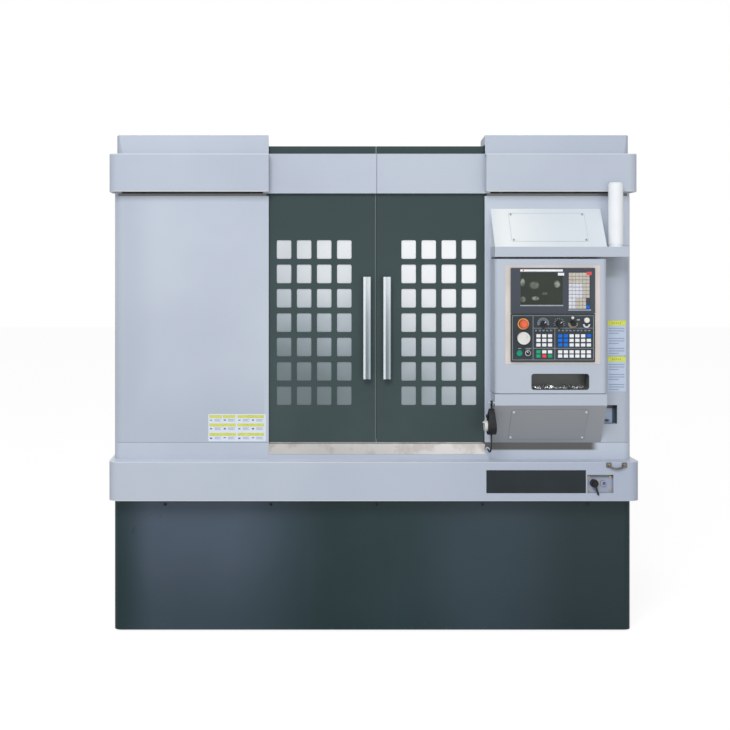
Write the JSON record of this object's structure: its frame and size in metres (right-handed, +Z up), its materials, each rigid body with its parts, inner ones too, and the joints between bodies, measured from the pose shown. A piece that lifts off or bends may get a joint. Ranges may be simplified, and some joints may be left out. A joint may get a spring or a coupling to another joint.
{
  "type": "cnc vertical lathe",
  "caption": "Enclosed CNC vertical turning lathe with two sliding windowed doors, a swinging operator console, a chuck spindle, a tool turret and a rear cabinet",
  "frame": {"origin": "the middle of the machine's footprint box, on the floor", "axes": "+X to the right along the front, +Y from the front to the back, +Z up"},
  "size_m": [2.42, 1.916, 2.28],
  "materials": {
    "panel_paint": "satin",
    "base_paint": "semi-gloss",
    "door_paint": "satin",
    "bright_steel": "brushed",
    "machined": "machined",
    "cast": "satin",
    "liner": "brushed",
    "dark_plastic": "matte",
    "white_plastic": "gloss",
    "bezel": "satin",
    "console_dark": "matte",
    "pane": "clear",
    "screen_glass": "gloss",
    "label_face": "matte",
    "sleeve": "gloss",
    "red_plastic": "gloss",
    "green_plastic": "gloss",
    "blue_plastic": "gloss",
    "handle_alu": "satin",
    "cord_rubber": "matte",
    "chip_metal": "bright",
    "plate_beige": "brushed"
  },
  "bodies": {
    "machine": {"base_skirt": "base_paint", "levelling_feet": "machined", "machine_bed": "cast", "base_belt": "panel_paint", "lower_front_panel": "panel_paint", "left_enclosure": "panel_paint", "right_enclosure": "panel_paint", "rear_panel": "panel_paint", "top_covers": "panel_paint", "door_rail": "bright_steel", "door_sill": "bright_steel", "chamber_liner": "liner", "spindle_motor": "dark_plastic", "column": "cast", "electric_cabinet": "panel_paint", "console_hood": "panel_paint", "console_base": "panel_paint", "access_covers": "panel_paint", "bright_screws": "bright_steel", "signal_tower": "sleeve", "label_plates": "label_face", "switch_box": "panel_paint", "belt_handle": "bright_steel", "pendant_body": "dark_plastic", "pendant_cord": "cord_rubber"},
    "door_left": {"left_door": "door_paint", "left_window": "pane", "left_header": "panel_paint", "left_handle": "handle_alu"},
    "door_right": {"right_door": "door_paint", "right_window": "pane", "right_header": "panel_paint", "right_handle": "handle_alu"},
    "console": {"console_box": "panel_paint", "control_backplate": "plate_beige", "display_unit": "bezel", "screen": "screen_glass", "machine_panel": "console_dark", "panel_keys": "white_plastic", "chips": "chip_metal"},
    "estop": {"estop_button": "red_plastic"},
    "wheel": {"handwheel": "white_plastic"},
    "start": {"start_button": "green_plastic"},
    "key": {"key_switch": "bright_steel"},
    "feed": {"feed_knob": "dark_plastic"},
    "speed": {"spindle_knob": "dark_plastic"},
    "mode": {"mode_knob": "dark_plastic"},
    "dial": {"pendant_dial": "white_plastic"},
    "mains": {"main_switch": "dark_plastic"},
    "power": {"power_button": "blue_plastic"},
    "cabinet_leaf": {"cabinet_door": "panel_paint"},
    "rotor": {"spindle": "machined", "chuck_body": "machined"},
    "jaw_a": {"jaw_1": "machined"},
    "jaw_b": {"jaw_2": "machined"},
    "jaw_c": {"jaw_3": "machined"},
    "x_slide": {"saddle": "cast"},
    "z_carrier": {"z_slide": "cast"},
    "turret": {"turret_disc": "machined"},
    "tank": {"coolant_tank": "cast"}
  },
  "joints": [
    {"name": "left_door_slide", "type": "slide", "parent": "machine", "child": "door_left", "axis": [-1, 0, 0], "range_m": [0, 0.425]},
    {"name": "right_door_slide", "type": "slide", "parent": "machine", "child": "door_right", "axis": [1, 0, 0], "range_m": [0, 0.425]},
    {"name": "console_swing", "type": "hinge", "parent": "machine", "child": "console", "pos_m": [0.556, -0.823, 1.4], "axis": [0, 0, -1], "range_deg": [0, 60]},
    {"name": "estop_push", "type": "slide", "parent": "console", "child": "estop", "axis": [0, 1, 0], "range_m": [0, 0.004]},
    {"name": "wheel_turn", "type": "hinge", "parent": "console", "child": "wheel", "pos_m": [0.666, -0.93, 1.354], "axis": [0, 1, 0], "continuous": true},
    {"name": "start_push", "type": "slide", "parent": "console", "child": "start", "axis": [0, 1, 0], "range_m": [0, 0.003], "stiffness_N_per_m": 400},
    {"name": "key_turn", "type": "hinge", "parent": "console", "child": "key", "pos_m": [0.686, -0.93, 1.287], "axis": [0, 1, 0], "range_deg": [-45, 45]},
    {"name": "feed_turn", "type": "hinge", "parent": "console", "child": "feed", "pos_m": [0.756, -0.93, 1.42], "axis": [0, 1, 0], "range_deg": [-135, 135]},
    {"name": "speed_turn", "type": "hinge", "parent": "console", "child": "speed", "pos_m": [0.828, -0.93, 1.42], "axis": [0, 1, 0], "range_deg": [-135, 135]},
    {"name": "mode_turn", "type": "hinge", "parent": "console", "child": "mode", "pos_m": [0.89, -0.93, 1.42], "axis": [0, 1, 0], "range_deg": [-90, 90]},
    {"name": "dial_turn", "type": "hinge", "parent": "machine", "child": "dial", "pos_m": [0.507, -0.916, 0.958], "axis": [1, 0, 0], "continuous": true},
    {"name": "mains_turn", "type": "hinge", "parent": "machine", "child": "mains", "pos_m": [0.999, -0.885, 0.692], "axis": [0, -1, 0], "range_deg": [0, 90]},
    {"name": "power_push", "type": "slide", "parent": "machine", "child": "power", "axis": [0, 1, 0], "range_m": [0, 0.003], "stiffness_N_per_m": 400},
    {"name": "cabinet_swing", "type": "hinge", "parent": "machine", "child": "cabinet_leaf", "pos_m": [-0.51, 0.925, 1.4], "axis": [0, 0, 1], "range_deg": [0, 110]},
    {"name": "spindle_turn", "type": "hinge", "parent": "machine", "child": "rotor", "pos_m": [0.018, -0.33, 0.9], "axis": [0, 0, 1], "continuous": true},
    {"name": "jaw_1_slide", "type": "slide", "parent": "rotor", "child": "jaw_a", "axis": [0, 1, 0], "range_m": [-0.03, 0.012]},
    {"name": "jaw_2_slide", "type": "slide", "parent": "rotor", "child": "jaw_b", "axis": [-0.866, -0.5, 0], "range_m": [-0.03, 0.012]},
    {"name": "jaw_3_slide", "type": "slide", "parent": "rotor", "child": "jaw_c", "axis": [0.866, -0.5, 0], "range_m": [-0.03, 0.012]},
    {"name": "x_axis_slide", "type": "slide", "parent": "machine", "child": "x_slide", "axis": [1, 0, 0], "range_m": [-0.14, 0.16]},
    {"name": "z_axis_slide", "type": "slide", "parent": "x_slide", "child": "z_carrier", "axis": [0, 0, 1], "range_m": [-0.28, 0.04]},
    {"name": "turret_index", "type": "hinge", "parent": "z_carrier", "child": "turret", "pos_m": [0.138, -0.33, 1.56], "axis": [0, 1, 0], "continuous": true},
    {"name": "tank_slide", "type": "slide", "parent": "machine", "child": "tank", "axis": [0, 1, 0], "range_m": [0, 0.6]}
  ],
  "couplings": [
    {"joint": "jaw_2_slide", "follows": "jaw_1_slide", "ratio": 1},
    {"joint": "jaw_3_slide", "follows": "jaw_1_slide", "ratio": 1}
  ]
}
